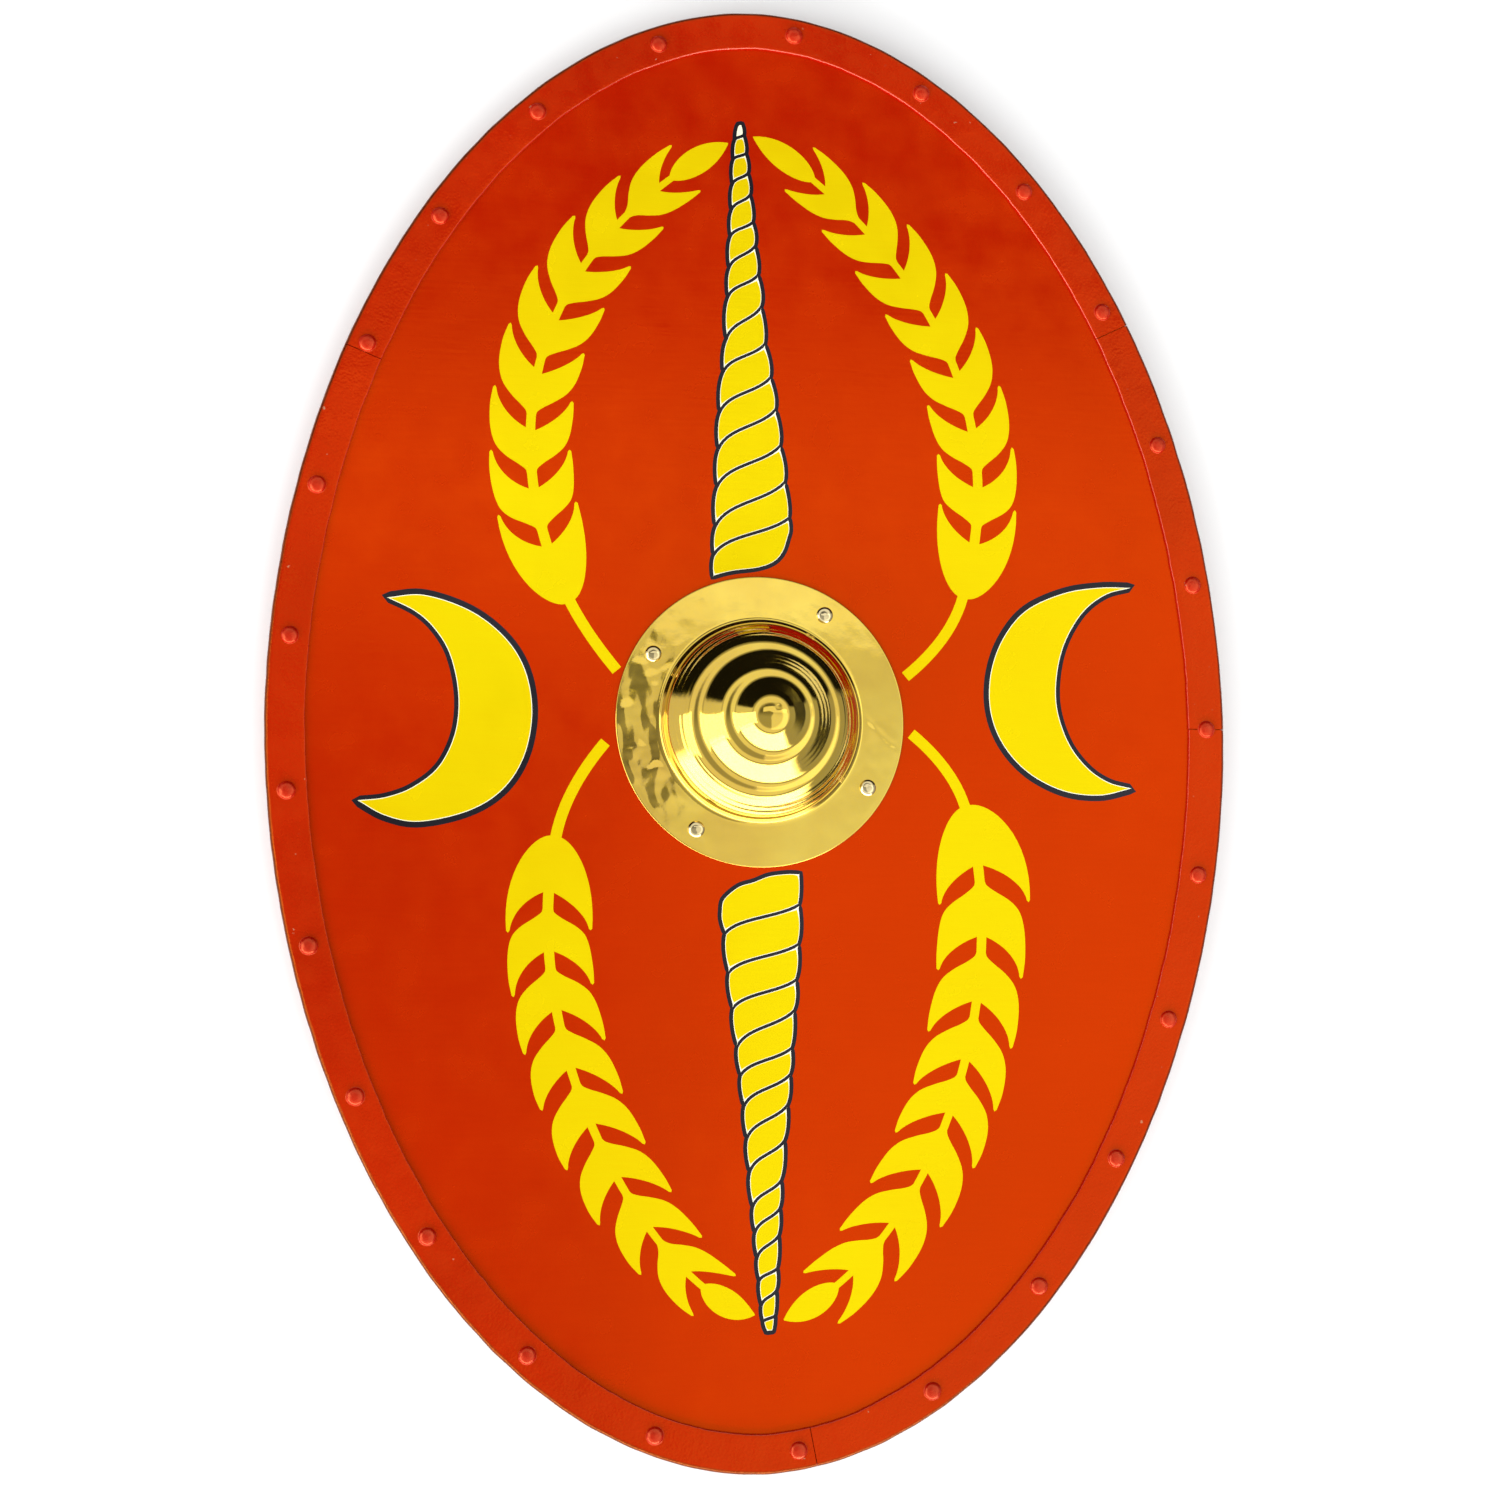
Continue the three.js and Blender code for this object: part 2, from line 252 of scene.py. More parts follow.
class Look:
    """A material under construction: its node tree and the shader that it feeds."""

    def __init__(self, name, **sockets):
        self.material = bpy.data.materials.new(name)
        self.material.use_nodes = True
        self.nodes = self.material.node_tree.nodes
        self.links = self.material.node_tree.links
        self.shader = self.nodes["Principled BSDF"]
        self.place = self.nodes.new("ShaderNodeTexCoord").outputs["Object"]
        for socket, value in sockets.items():
            self.shader.inputs[socket.replace("_", " ")].default_value = value

    def stretched(self, scale):
        mapping = self.nodes.new("ShaderNodeMapping")
        mapping.inputs["Scale"].default_value = scale
        self.links.new(self.place, mapping.inputs["Vector"])
        return mapping.outputs["Vector"]

    def noise(self, scale, detail=3.0, stretch=None, distortion=0.0):
        made = self.nodes.new("ShaderNodeTexNoise")
        made.inputs["Scale"].default_value = scale
        made.inputs["Detail"].default_value = detail
        made.inputs["Distortion"].default_value = distortion
        self.links.new(self.stretched(stretch) if stretch else self.place, made.inputs["Vector"])
        return made.outputs["Fac"]

    def ramp(self, factor, *stops):
        made = self.nodes.new("ShaderNodeValToRGB")
        elements = made.color_ramp.elements
        while len(elements) < len(stops):
            elements.new(0.5)
        for element, (position, colour) in zip(elements, stops):
            element.position = position
            element.color = (*colour, 1)
        self.links.new(factor, made.inputs["Fac"])
        return made.outputs["Color"]

    def level(self, factor, low, high, start=0.3, end=0.7):
        """A number that goes from low to high as the factor goes from start to end."""
        made = self.nodes.new("ShaderNodeMapRange")
        made.inputs["From Min"].default_value = start
        made.inputs["From Max"].default_value = end
        made.inputs["To Min"].default_value = low
        made.inputs["To Max"].default_value = high
        self.links.new(factor, made.inputs["Value"])
        return made.outputs["Result"]

    def mix(self, factor, first, second):
        made = self.nodes.new("ShaderNodeMix")
        made.data_type = "RGBA"
        for number, value in ((MIX_FACTOR, factor), (MIX_FIRST, first), (MIX_SECOND, second)):
            if isinstance(value, bpy.types.NodeSocket):
                self.links.new(value, made.inputs[number])
            else:
                made.inputs[number].default_value = value
        return next(socket for socket in made.outputs if socket.type == "RGBA")

    def facing_out(self):
        """Above 0 where the surface turns away from the shield's middle, below 0 where it turns to it."""
        turned_out = self.nodes.new("ShaderNodeVectorMath")
        turned_out.operation = "DOT_PRODUCT"
        self.links.new(self.nodes.new("ShaderNodeNewGeometry").outputs["Normal"], turned_out.inputs[0])
        self.links.new(self.place, turned_out.inputs[1])
        return turned_out.outputs["Value"]

    def colour(self, socket):
        self.links.new(socket, self.shader.inputs["Base Color"])

    def roughness(self, socket):
        self.links.new(socket, self.shader.inputs["Roughness"])

    def bump(self, *heights):
        """Each height is a socket and how far it reaches, in millimetres."""
        normal = None
        for height, reach in heights:
            made = self.nodes.new("ShaderNodeBump")
            made.inputs["Distance"].default_value = reach * MM
            self.links.new(height, made.inputs["Height"])
            if normal is not None:
                self.links.new(normal, made.inputs["Normal"])
            normal = made.outputs["Normal"]
        self.links.new(normal, self.shader.inputs["Normal"])


# Paints. The tints are the colour of their gloss, which keeps much of the paint's own colour
GLOSS_IOR = 2.2
RED_TINT = (0.65, 0.12, 0.003, 1)
YELLOW_TINT = (0.5, 0.45, 0.004, 1)
NO_TINT = (1, 1, 1, 1)
LEATHER_TINT = (0.6, 0.13, 0.010, 1)
# Paler gloss tint for the edging's lip where it turns to the middle: a painted highlight tint
PAINTED_LIP_HIGHLIGHT_TINT = (0.75, 0.34, 0.24, 1)
RIVET_TINT = (0.62, 0.17, 0.065, 1)
# Colour of the painted shade round the edging's outer edge
PAINTED_EDGE_SHADE = (0.035, 0.0020, 0.0008, 1)
BARE_HIDE = (0.40, 0.17, 0.10, 1)
BRUSH_STRETCH = (0.08, 1.0, 1.0)
STROKES_SHARE = 0.16
GRAIN_SCALE = 520.0
# How far the leather turns away from the middle, or to it below 0, where the painted shade of its outer
# edge and the paler gloss tint of its lip start and are whole
EDGE_SHADE_FACING = (0.05, 0.24)
LIP = (-0.24, -0.08)


def brushed_paint(name, dark, middle, light, tint, gloss=1.0):
    """Gloss paint laid on with a brush from side to side."""
    look = Look(name, IOR=GLOSS_IOR, Specular_IOR_Level=gloss, Specular_Tint=tint)
    patches = look.noise(5.0, 4.0)
    strokes = look.noise(420.0, 4.0, BRUSH_STRETCH)
    broad = look.ramp(patches, (0.30, dark), (0.52, middle), (0.74, light))
    fine = look.ramp(strokes, (0.32, dark), (0.60, light))
    look.colour(look.mix(STROKES_SHARE, broad, fine))
    look.roughness(look.level(look.noise(34.0, 5.0), 0.16, 0.30))
    look.bump((strokes, 0.055), (look.noise(11.0, 2.0), 0.40), (look.noise(240.0, 3.0), 0.02))
    return look.material


red_paint = brushed_paint(
    "red_paint", (0.345, 0.0025, 0.0003), (0.375, 0.0035, 0.0003), (0.40, 0.006, 0.0004), RED_TINT,
)
yellow_paint = brushed_paint(
    "yellow_paint", (0.63, 0.44, 0.001), (0.64, 0.48, 0.001), (0.63, 0.505, 0.001), YELLOW_TINT,
)
black_paint = brushed_paint(
    "black_paint", (0.006, 0.005, 0.008), (0.010, 0.009, 0.013), (0.016, 0.014, 0.022), NO_TINT, 0.05,
)
white_paint = brushed_paint(
    "white_paint", (0.78, 0.76, 0.50), (0.84, 0.83, 0.62), (0.88, 0.87, 0.72), NO_TINT, 0.3,
)


def leather_paint(name, tint, has_painted_edge_light):
    """The same red paint over leather: a soft pebbled grain, and small chips down to the hide. Edging has
    painted shade round its outer edge, and a paler gloss tint on its lip for a painted highlight there."""
    look = Look(name, IOR=GLOSS_IOR, Specular_IOR_Level=0.8, Specular_Tint=tint)
    grain = look.nodes.new("ShaderNodeTexVoronoi")
    grain.inputs["Scale"].default_value = GRAIN_SCALE
    look.links.new(look.place, grain.inputs["Vector"])
    paint = look.ramp(
        look.noise(9.0, 4.0),
        (0.30, (0.32, 0.0025, 0.0003)), (0.52, (0.365, 0.004, 0.0004)), (0.76, (0.40, 0.008, 0.0006)),
    )
    chipped = look.ramp(look.noise(150.0, 6.0), (0.73, (0, 0, 0)), (0.75, (1, 1, 1)))
    colour = look.mix(chipped, paint, BARE_HIDE)
    # Painted shade: the colour darkens where the edging turns away from the middle. Painted highlight: the
    # gloss tint turns paler where it turns to the middle.
    if has_painted_edge_light:
        facing = look.facing_out()
        colour = look.mix(look.level(facing, 0.0, 1.0, *EDGE_SHADE_FACING), colour, PAINTED_EDGE_SHADE)
        painted_lip_highlight_tint = look.mix(look.level(facing, 1.0, 0.0, *LIP), tint, PAINTED_LIP_HIGHLIGHT_TINT)
        look.links.new(painted_lip_highlight_tint, look.shader.inputs["Specular Tint"])
    look.colour(colour)
    look.roughness(look.level(look.noise(60.0, 4.0), 0.20, 0.36))
    look.bump((grain.outputs["Distance"], 0.10), (look.noise(70.0, 4.0), 0.25))
    return look.material


# The edging's red paint, with its painted edge shade and painted lip highlight tint
edging_paint_and_shade = leather_paint("edging_paint_and_shade", LEATHER_TINT, True)
rivet_paint = leather_paint("rivet_paint", RIVET_TINT, False)


# Metals and woods
def brass(name, dark, middle, light, roughness_low, roughness_high, scuffs):
    """Polished brass under a thin clear lacquer."""
    look = Look(name, Metallic=1.0, Coat_Weight=1.0, Coat_Roughness=0.06, Coat_IOR=1.65)
    look.colour(look.ramp(look.noise(14.0, 5.0), (0.30, dark), (0.52, middle), (0.74, light)))
    look.roughness(look.level(look.noise(90.0, 6.0), roughness_low, roughness_high))
    look.bump((look.noise(55.0, 3.0), scuffs), (look.noise(700.0, 4.0), scuffs * 0.12))
    return look.material


boss_brass = brass(
    "boss_brass", (0.56, 0.350, 0.010), (0.63, 0.425, 0.017), (0.70, 0.51, 0.040), 0.05, 0.11, 0.10,
)
rivet_brass = brass(
    "rivet_brass", (0.52, 0.40, 0.15), (0.60, 0.48, 0.22), (0.68, 0.57, 0.32), 0.08, 0.16, 0.06,
)


def bare_wood(name, dark, middle, light, along, polish):
    """Straight-grained wood: along is the stretch of the grain for X, Y and Z."""
    look = Look(name, Specular_IOR_Level=0.35)
    rings = look.noise(46.0, 6.0, along, 0.6)
    pores = look.noise(600.0, 3.0, along)
    tone = look.ramp(rings, (0.30, dark), (0.50, middle), (0.72, light))
    fine = look.ramp(pores, (0.35, dark), (0.55, light))
    look.colour(look.mix(0.30, tone, fine))
    look.roughness(look.level(look.noise(40.0, 4.0), polish, polish + 0.18))
    look.bump((rings, 0.15), (pores, 0.06))
    return look.material


board_wood = bare_wood(
    "board_wood", (0.30, 0.16, 0.07), (0.42, 0.25, 0.12), (0.52, 0.33, 0.17), (1.0, 0.06, 1.0), 0.45,
)
grip_wood = bare_wood(
    "grip_wood", (0.20, 0.095, 0.035), (0.30, 0.155, 0.062), (0.40, 0.225, 0.10), (0.07, 1.0, 1.0), 0.38,
)


def steel():
    look = Look("screw_steel", Metallic=1.0)
    look.colour(look.ramp(look.noise(300.0, 4.0), (0.35, (0.30, 0.30, 0.31)), (0.65, (0.52, 0.52, 0.53))))
    look.roughness(look.level(look.noise(500.0, 4.0), 0.28, 0.48))
    look.bump((look.noise(900.0, 3.0), 0.03))
    return look.material


screw_metal = steel()


# Ornament painted on the face. Places and sizes in millimetres from the middle of the boss.
LINE_WIDTH = 2.3
OUTLINE_WIDTH = 3.0
WHITE_WIDTH = 0.35
CORNER_WHITE = 1.3
CORNER_REACH = 0.22
TWIST_START = (0.16, 0.55)
TWIST_END = (0.28, 0.45)
HORN_BULGE = 0.055
MOON_OUTER_LINE = 4.2
MOON_INNER_LINE = 3.2
MOON_WHITE = 0.5


def area_of(loop):
    return sum(a.x * b.y - b.x * a.y for a, b in zip(loop, loop[1:] + loop[:1])) / 2


def moved_out(loop, distance):
    """The closed loop with each corner moved outwards. The distance is one number or one a corner."""
    distances = distance if isinstance(distance, list) else [distance] * len(loop)
    facing = 1 if area_of(loop) > 0 else -1
    moved = []
    for i, point in enumerate(loop):
        along = (loop[(i + 1) % len(loop)] - loop[i - 1]).normalized()
        moved.append(point + Vector((along.y, -along.x)) * distances[i] * facing)
    return moved


def edge_at(edge, y):
    """The x of a horn's side at this height. The side is a list of points, from low to high."""
    return float(np.interp(y, [p[1] for p in edge], [p[0] for p in edge]))


def twist(left, right):
    """A line across a horn, steep at both of its ends."""
    run = right.x - left.x
    rise = right.y - left.y
    start = left + Vector((TWIST_START[0] * run, TWIST_START[1] * rise))
    finish = right - Vector((TWIST_END[0] * run, TWIST_END[1] * rise))
    return cubic(left, start, finish, right, 14)


def bulging(start, end, bulge):
    """A horn's side between two of its lines, which bulges towards +X, or towards -X below 0."""
    first = start.lerp(end, 0.3) + Vector((bulge * 2, 0))
    second = start.lerp(end, 0.75) + Vector((bulge, 0))
    return cubic(start, first, second, end, 8)


def horn_turn(upper, lower):
    """One turn of a horn, between two of its lines: black lines round white, and yellow on the white."""
    height = upper[0].y - lower[0].y
    left = bulging(upper[0], lower[0], -HORN_BULGE * height)
    right = bulging(lower[-1], upper[-1], HORN_BULGE * height)
    cell = left[:-1] + lower[:-1] + right[:-1] + upper[::-1][:-1]
    if area_of(cell) < 0:
        cell.reverse()
    inner = moved_out(cell, -LINE_WIDTH / 2)
    thin = []
    for corner in inner:
        near = min((corner - lower[0]).length, (corner - upper[-1]).length)
        thin.append(-(WHITE_WIDTH + CORNER_WHITE * math.exp(-((near / (CORNER_REACH * height)) ** 2))))
    return [
        ("black", moved_out(cell, OUTLINE_WIDTH - LINE_WIDTH / 2)),
        ("white", inner),
        ("yellow", moved_out(inner, thin)),
    ]


def horn(left_side, right_side, left_ends, right_ends, first_line=None, last_line=None):
    """Twisted horn, from its upper end to its lower: the lines across it start at the left ends and
    rise to the right ends. The first or last line can have points of its own."""
    lefts = [Vector((edge_at(left_side, y), y)) for y in left_ends]
    rights = [Vector((edge_at(right_side, y), y)) for y in right_ends]
    lines = [twist(left, right) for left, right in zip(lefts, rights)]
    if first_line:
        lines[0] = through(first_line, 5)
    if last_line:
        lines[-1] = through(last_line, 5)
    shapes = []
    for upper, lower in zip(lines, lines[1:]):
        shapes += horn_turn(upper, lower)
    return [shape for shape in shapes if area_of(shape[1]) > 0]


top_horn = horn(
    left_side=[
        (-36, 105), (-35, 118), (-33.2, 148), (-30.0, 236), (-25.5, 280), (-19.5, 430), (-16.6, 446),
    ],
    right_side=[
        (19.5, 118), (21.8, 140), (21.5, 152), (11.0, 236), (3.7, 280), (-11.0, 430), (-13.4, 447),
    ],
    left_ends=[446, 434, 419, 400, 380, 360, 336, 314, 282, 257, 227, 199.5, 171.5, 142, 121, 108.5],
    right_ends=[447, 438, 424, 409, 392.5, 372, 354, 332, 308, 280, 255, 231, 204, 177, 150.5, 124],
    last_line=[
        (-35.5, 104.5), (-28, 107), (-18.5, 109.3), (-1.4, 112), (10.5, 116.8), (17.6, 125), (21.6, 137),
    ],
)
bottom_horn = horn(
    left_side=[
        (3.4, -434.5), (1.0, -428), (-3.3, -382), (-8.5, -323), (-12.6, -276), (-23.8, -182), (-28.5, -130),
    ],
    right_side=[(8.4, -434), (9.7, -424), (14.4, -328), (21, -254), (27.4, -161), (28.6, -111)],
    left_ends=[
        -133, -153.5, -181.5, -207, -234, -254.5, -276, -299,
        -322.5, -347, -365, -382.5, -398.5, -415.5, -427, -434.5,
    ],
    right_ends=[
        -111.5, -132.5, -161, -186.5, -208.5, -235, -254, -275.5,
        -300.5, -328.5, -348, -367, -390, -405.5, -423, -434,
    ],
    first_line=[
        (-29.8, -139.1), (-29.1, -131.5), (-26.9, -127.3), (-21.7, -122.5), (-15.2, -118.3),
        (-5.4, -115.4), (3.8, -111.7), (11.0, -110.2), (20.8, -109.3), (29.0, -109.6),
    ],
)


def crescent(outer, inner):
    """A moon from its upper tip to its lower, along its outer edge and back along its inner edge."""
    outer_edge = through(outer, 10)
    moon = outer_edge[:-1] + through(inner[::-1], 10)[:-1]
    if area_of(moon) < 0:
        moon.reverse()
    on_outer_edge = {tuple(p) for p in outer_edge}
    widths = [MOON_OUTER_LINE if tuple(p) in on_outer_edge else MOON_INNER_LINE for p in moon]
    return [("black", moved_out(moon, widths)), ("white", moon), ("yellow", moved_out(moon, -MOON_WHITE))]


left_moon = crescent(
    [(-269, 83.5), (-243, 86), (-210, 75.5), (-185, 56.5), (-170.5, 33), (-165.5, 3), (-171, -28),
     (-186, -52), (-210, -67.5), (-244, -75.5), (-268, -71.5), (-287.5, -61)],
    [(-269, 83.5), (-249, 74), (-235, 61.5), (-224, 43), (-218, 15), (-220, -12), (-231, -36),
     (-249, -51), (-268, -58.5), (-287.5, -61)],
)
right_moon = crescent(
    [(282, 106), (258, 105.5), (230, 100.5), (201, 87), (183, 66), (173, 40), (172, 12),
     (181, -13), (200, -34), (227, -47.5), (255, -50.5), (280, -45)],
    [(282, 106), (262, 100), (244, 86), (230, 63), (223.5, 38), (223.5, 13), (232, -12),
     (246, -30), (262, -40.5), (280, -45)],
)

# Ears of corn. Each is drawn along a curved spine, with pairs of leaves that notches set off. Points of a
# leaf are (how far along the spine, how far to the side of it)
SPINE_STEPS = 300
STEM_LOW_HALF = 4.0
STEM_HIGH_HALF = 2.2
STEM_BEND = 0.45
STEM_STEPS = 40
STEM_PAST_LAST_GAP = 12
NOTCH_HALF = 6.9
LEAF_AHEAD = 19.5
LEAF_START = 4.6
TIP_UNEVEN = 1.2
TOP_LEAF_HALF = 10.5
TOP_LEAF_GAP = 2
# Widths of the last pairs of leaves, the very last first, as shares of the full width
LAST_WIDTHS = (0.70, 0.86, 0.96)
# The outer edge of a leaf, as shares of its length and width: a low broad leaf and a high slim one
BROAD_LEAF = (
    (0.05, 0.17), (0.125, 0.40), (0.235, 0.79), (0.34, 0.97), (0.53, 1.04), (0.80, 1.06), (1.0, 1.035),
)
SLIM_LEAF = (
    (0.05, 0.15), (0.12, 0.29), (0.21, 0.50), (0.36, 0.80), (0.55, 0.99), (0.80, 1.06), (1.0, 1.035),
)


class Spine:
    def __init__(self, a, b, c, d):
        self.points = cubic(a, b, c, d, SPINE_STEPS)
        steps = [(q - p).length for p, q in zip(self.points, self.points[1:])]
        self.reached = np.concatenate(([0], np.cumsum(steps)))
        self.length = float(self.reached[-1])

    def at(self, along, aside):
        """The point this far along the spine and this far to its left."""
        held = min(max(along, 0), self.length)
        i = min(int(np.searchsorted(self.reached, held, side="right")) - 1, len(self.points) - 2)
        step = self.points[i + 1] - self.points[i]
        part = (held - self.reached[i]) / step.length
        direction = step.normalized()
        past = along - held
        return self.points[i] + step * part + direction * past + Vector((-direction.y, direction.x)) * aside

    def stem_half(self, along):
        """Half the width of the stem this far along the spine."""
        share = min(max(along / self.length, 0), 1)
        return STEM_LOW_HALF + (STEM_HIGH_HALF - STEM_LOW_HALF) * share

    def drawn(self, points, side):
        """Points of a leaf, placed on the spine's left (side 1) or right (side -1)."""
        return [self.at(p.x, p.y * side) for p in points]


def stem(spine, root, reach):
    """From the root beside the boss to the foot of the spine, and this far along the spine."""
    foot = spine.at(0, 0)
    towards = (spine.at(1, 0) - foot).normalized()
    bend = foot - towards * (foot - root).length * STEM_BEND
    stalk = cubic(root, root.lerp(bend, 2 / 3), foot.lerp(bend, 2 / 3), foot, 12)
    left_edge, right_edge = [], []
    for before, after, point in zip([stalk[0]] + stalk, stalk[1:] + [foot + towards], stalk):
        along = (after - before).normalized()
        aside = Vector((-along.y, along.x)) * STEM_LOW_HALF
        left_edge.append(point + aside)
        right_edge.append(point - aside)
    for i in range(STEM_STEPS + 1):
        along = reach * i / STEM_STEPS
        left_edge.append(spine.at(along, spine.stem_half(along)))
        right_edge.append(spine.at(along, -spine.stem_half(along)))
    return left_edge + right_edge[::-1]


def bud_edge(base, tip, foot_half, wide):
    """The outer edge of a leaf of the lowest pair, which together are a bud."""
    span = tip - base
    return cubic(
        (base, foot_half), (base + 0.04 * span, 0.55 * wide),
        (base + 0.42 * span, 1.13 * wide), (tip, wide + 1.0), 16,
    )


def leaf_edge(base, tip, foot_half, wide, full):
    """The outer edge of any other leaf. Full is 1 for a low leaf and 0 for a high one."""
    span = tip - base
    profile = [(base, foot_half)]
    for slim_place, broad_place in zip(SLIM_LEAF, BROAD_LEAF):
        along, aside = Vector(slim_place).lerp(Vector(broad_place), 0.2 + 0.5 * full)
        profile.append((base + along * span, max(aside * wide, foot_half + 1)))
    return through(profile, 4)


def notch_edge(tip, tip_wide, notch, notch_half, wide, full):
    """The inner edge of a leaf, from its tip back to the notch."""
    back = tip - notch
    return cubic(
        (tip, tip_wide - 1.4), (tip - (0.32 + 0.055 * full) * back, tip_wide - 4.2 + 1.2 * full),
        (notch + (0.26 - 0.03 * full) * back, (0.52 + 0.08 * full) * wide), (notch, notch_half), 12,
    )


def top_leaf(spine, base):
    span = spine.length - base
    edge = cubic(
        (base, spine.stem_half(base)), (base + 0.16 * span, TOP_LEAF_HALF * 0.98),
        (base + 0.62 * span, TOP_LEAF_HALF * 1.40), (spine.length, 0.4), 16,
    )
    loop = [Vector((base, 0))] + edge + [Vector((spine.length, 0))]
    return [("yellow", spine.drawn(loop, side)) for side in (1, -1)]


def ear(root, spine_points, first_gap, pitch, reach, outer_shift, inner_shift, uneven, bud_wider):
    """The shifts are how much farther the tips and the notches of the leaves reach on the ear's outer
    side, away from the shield's middle, and on its inner side. Uneven is how far each gap between the
    leaves is from its even place. The bud is wider on the shield's right by bud_wider."""
    spine = Spine(*spine_points)
    last_gap = first_gap + pitch * (len(uneven) - 1)
    shapes = [("yellow", stem(spine, Vector(root), last_gap + STEM_PAST_LAST_GAP))]
    base = 0
    for pair, shift in enumerate(uneven):
        gap = first_gap + pitch * pair + shift
        pairs_left = len(uneven) - 1 - pair
        wide = reach * LAST_WIDTHS[pairs_left] if pairs_left < len(LAST_WIDTHS) else reach
        full = min(max((3 - pair) / 2, 0), 1)
        foot_half = spine.stem_half(base)
        for side in (1, -1):
            here = spine.at(gap, side).x
            across = spine.at(gap, -side).x
            tip_shift, notch_shift = outer_shift if abs(here) > abs(across) else inner_shift
            notch = gap - NOTCH_HALF + notch_shift * (1 - full)
            tip = gap + LEAF_AHEAD + TIP_UNEVEN * noise.noise(Vector((pair * 3.7, side * 2.1, root[0])))
            tip += tip_shift * (1 - full)
            tip_wide = wide + bud_wider if pair == 0 and here > across else wide
            if pair == 0:
                outer = bud_edge(base, tip, foot_half, tip_wide)
            else:
                outer = leaf_edge(base, tip, foot_half, wide, full)
            inner = notch_edge(tip, tip_wide, notch, spine.stem_half(notch), wide, full)
            loop = [Vector((base, 0))] + outer + [Vector((tip + 1.3, tip_wide - 0.2))] + inner
            loop.append(Vector((notch, 0)))
            shapes.append(("yellow", spine.drawn(loop, side)))
        base = gap + LEAF_START
    return shapes + top_leaf(spine, base + TOP_LEAF_GAP)


EVEN = (0,) * 8
top_left_ear = ear(
    (-105, 35), ((-139, 84), (-187, 175), (-194, 329), (-24, 431)), first_gap=51, pitch=42.6, reach=28.5,
    outer_shift=(0.5, 3.5), inner_shift=(-2.0, 0), uneven=EVEN, bud_wider=0,
)
top_right_ear = ear(
    (108, 35), ((152, 95), (217, 311), (8, 431), (-5, 437)), first_gap=49, pitch=42.6, reach=28.8,
    outer_shift=(0.5, 3.5), inner_shift=(-2.0, 0), uneven=EVEN, bud_wider=0,
)
bottom_left_ear = ear(
    (-113, -17), ((-148, -85), (-178, -238), (-75, -405), (-5, -422)), first_gap=47, pitch=42.0,
    reach=28.5, outer_shift=(-7.5, 0), inner_shift=(2.0, 0), uneven=EVEN, bud_wider=2.0,
)
bottom_right_ear = ear(
    (112, -7), ((152, -60), (188, -170), (142, -370), (16, -426)), first_gap=55, pitch=44.8, reach=31.5,
    outer_shift=(0, 0), inner_shift=(1.0, 0), uneven=(-3.5, 3.6, 6.3, 4.5, 0, 0, 0, 0), bud_wider=4.5,
)
ornament = [
    *top_horn, *bottom_horn, *left_moon, *right_moon,
    *top_left_ear, *top_right_ear, *bottom_left_ear, *bottom_right_ear,
]


# Board: the face is one flat sheet of triangles, cut along the edges of the painted shapes. Where shapes
# lie over each other, the one later in this list is seen
PAINTS = ["red", "black", "white", "yellow", "hole"]
HOLE = PAINTS.index("hole")
board_materials = [red_paint, black_paint, white_paint, yellow_paint, board_wood]
BARE_WOOD = board_materials.index(board_wood)
OUTLINE_STATIONS = 360
HOLE_STATIONS = 96
FACE_SPACING = 22
FACE_MARGIN = 12
CUT_PRECISION = 1e-4


def is_inside(places, loop):
    """Which of the places the closed loop goes round anticlockwise."""
    rounds = np.zeros(len(places), int)
    for a, b in zip(loop, loop[1:] + loop[:1]):
        side = (b.x - a.x) * (places[:, 1] - a.y) - (places[:, 0] - a.x) * (b.y - a.y)
        rounds += ((places[:, 1] >= a.y) & (places[:, 1] < b.y) & (side > 0)).astype(int)
        rounds -= ((places[:, 1] >= b.y) & (places[:, 1] < a.y) & (side < 0)).astype(int)
    return rounds > 0


def face_shapes():
    """Every shape of the face, anticlockwise: the number of its paint, and its loop."""
    outline = [outline_point(i / OUTLINE_STATIONS, BOARD_INSET) for i in range(OUTLINE_STATIONS)]
    hole = []
    for i in range(HOLE_STATIONS):
        turn = 2 * math.pi * i / HOLE_STATIONS
        hole.append(Vector((math.cos(turn), math.sin(turn))) * HAND_HOLE_RADIUS)
    shapes = [("red", outline), ("hole", hole), *ornament]
    return [(PAINTS.index(paint), loop[::-1] if area_of(loop) < 0 else loop) for paint, loop in shapes]


def spread_points():
    """Points in rows all over the face, which keep its triangles small."""
    columns = int(HALF_WIDTH / FACE_SPACING)
    rows = int(HALF_HEIGHT / FACE_SPACING)
    points = []
    for column in range(-columns, columns + 1):
        for row in range(-rows, rows + 1):
            x = column * FACE_SPACING
            y = row * FACE_SPACING
            across = (abs(x) / (HALF_WIDTH - FACE_MARGIN)) ** OUTLINE_POWER
            upwards = (abs(y) / (HALF_HEIGHT - FACE_MARGIN)) ** OUTLINE_POWER
            if across + upwards < 1:
                points.append(Vector((x, y)))
    return points


def face_triangles():
    """The face's corners, its triangles and the number of each triangle's paint."""
    points, loops, paints = [], [], []
    for paint, loop in face_shapes():
        loops.append(list(range(len(points), len(points) + len(loop))))
        points += [Vector((p.x, p.y)) for p in loop]
        paints.append(paint)
    points += spread_points()
    sides = [(a, b) for loop in loops for a, b in zip(loop, loop[1:] + loop[:1])]
    corners, _, triangles, _, _, _ = delaunay_2d_cdt(points, sides, [], 0, CUT_PRECISION, False)
    places = np.array([tuple(p) for p in corners])
    middles = places[np.array([list(triangle) for triangle in triangles])].mean(axis=1)
    paint_of = np.zeros(len(triangles), int)
    for paint, loop in zip(paints, loops):
        within = is_inside(middles, [points[i] for i in loop])
        paint_of[within] = np.maximum(paint_of[within], paint)
    return corners, triangles, paint_of


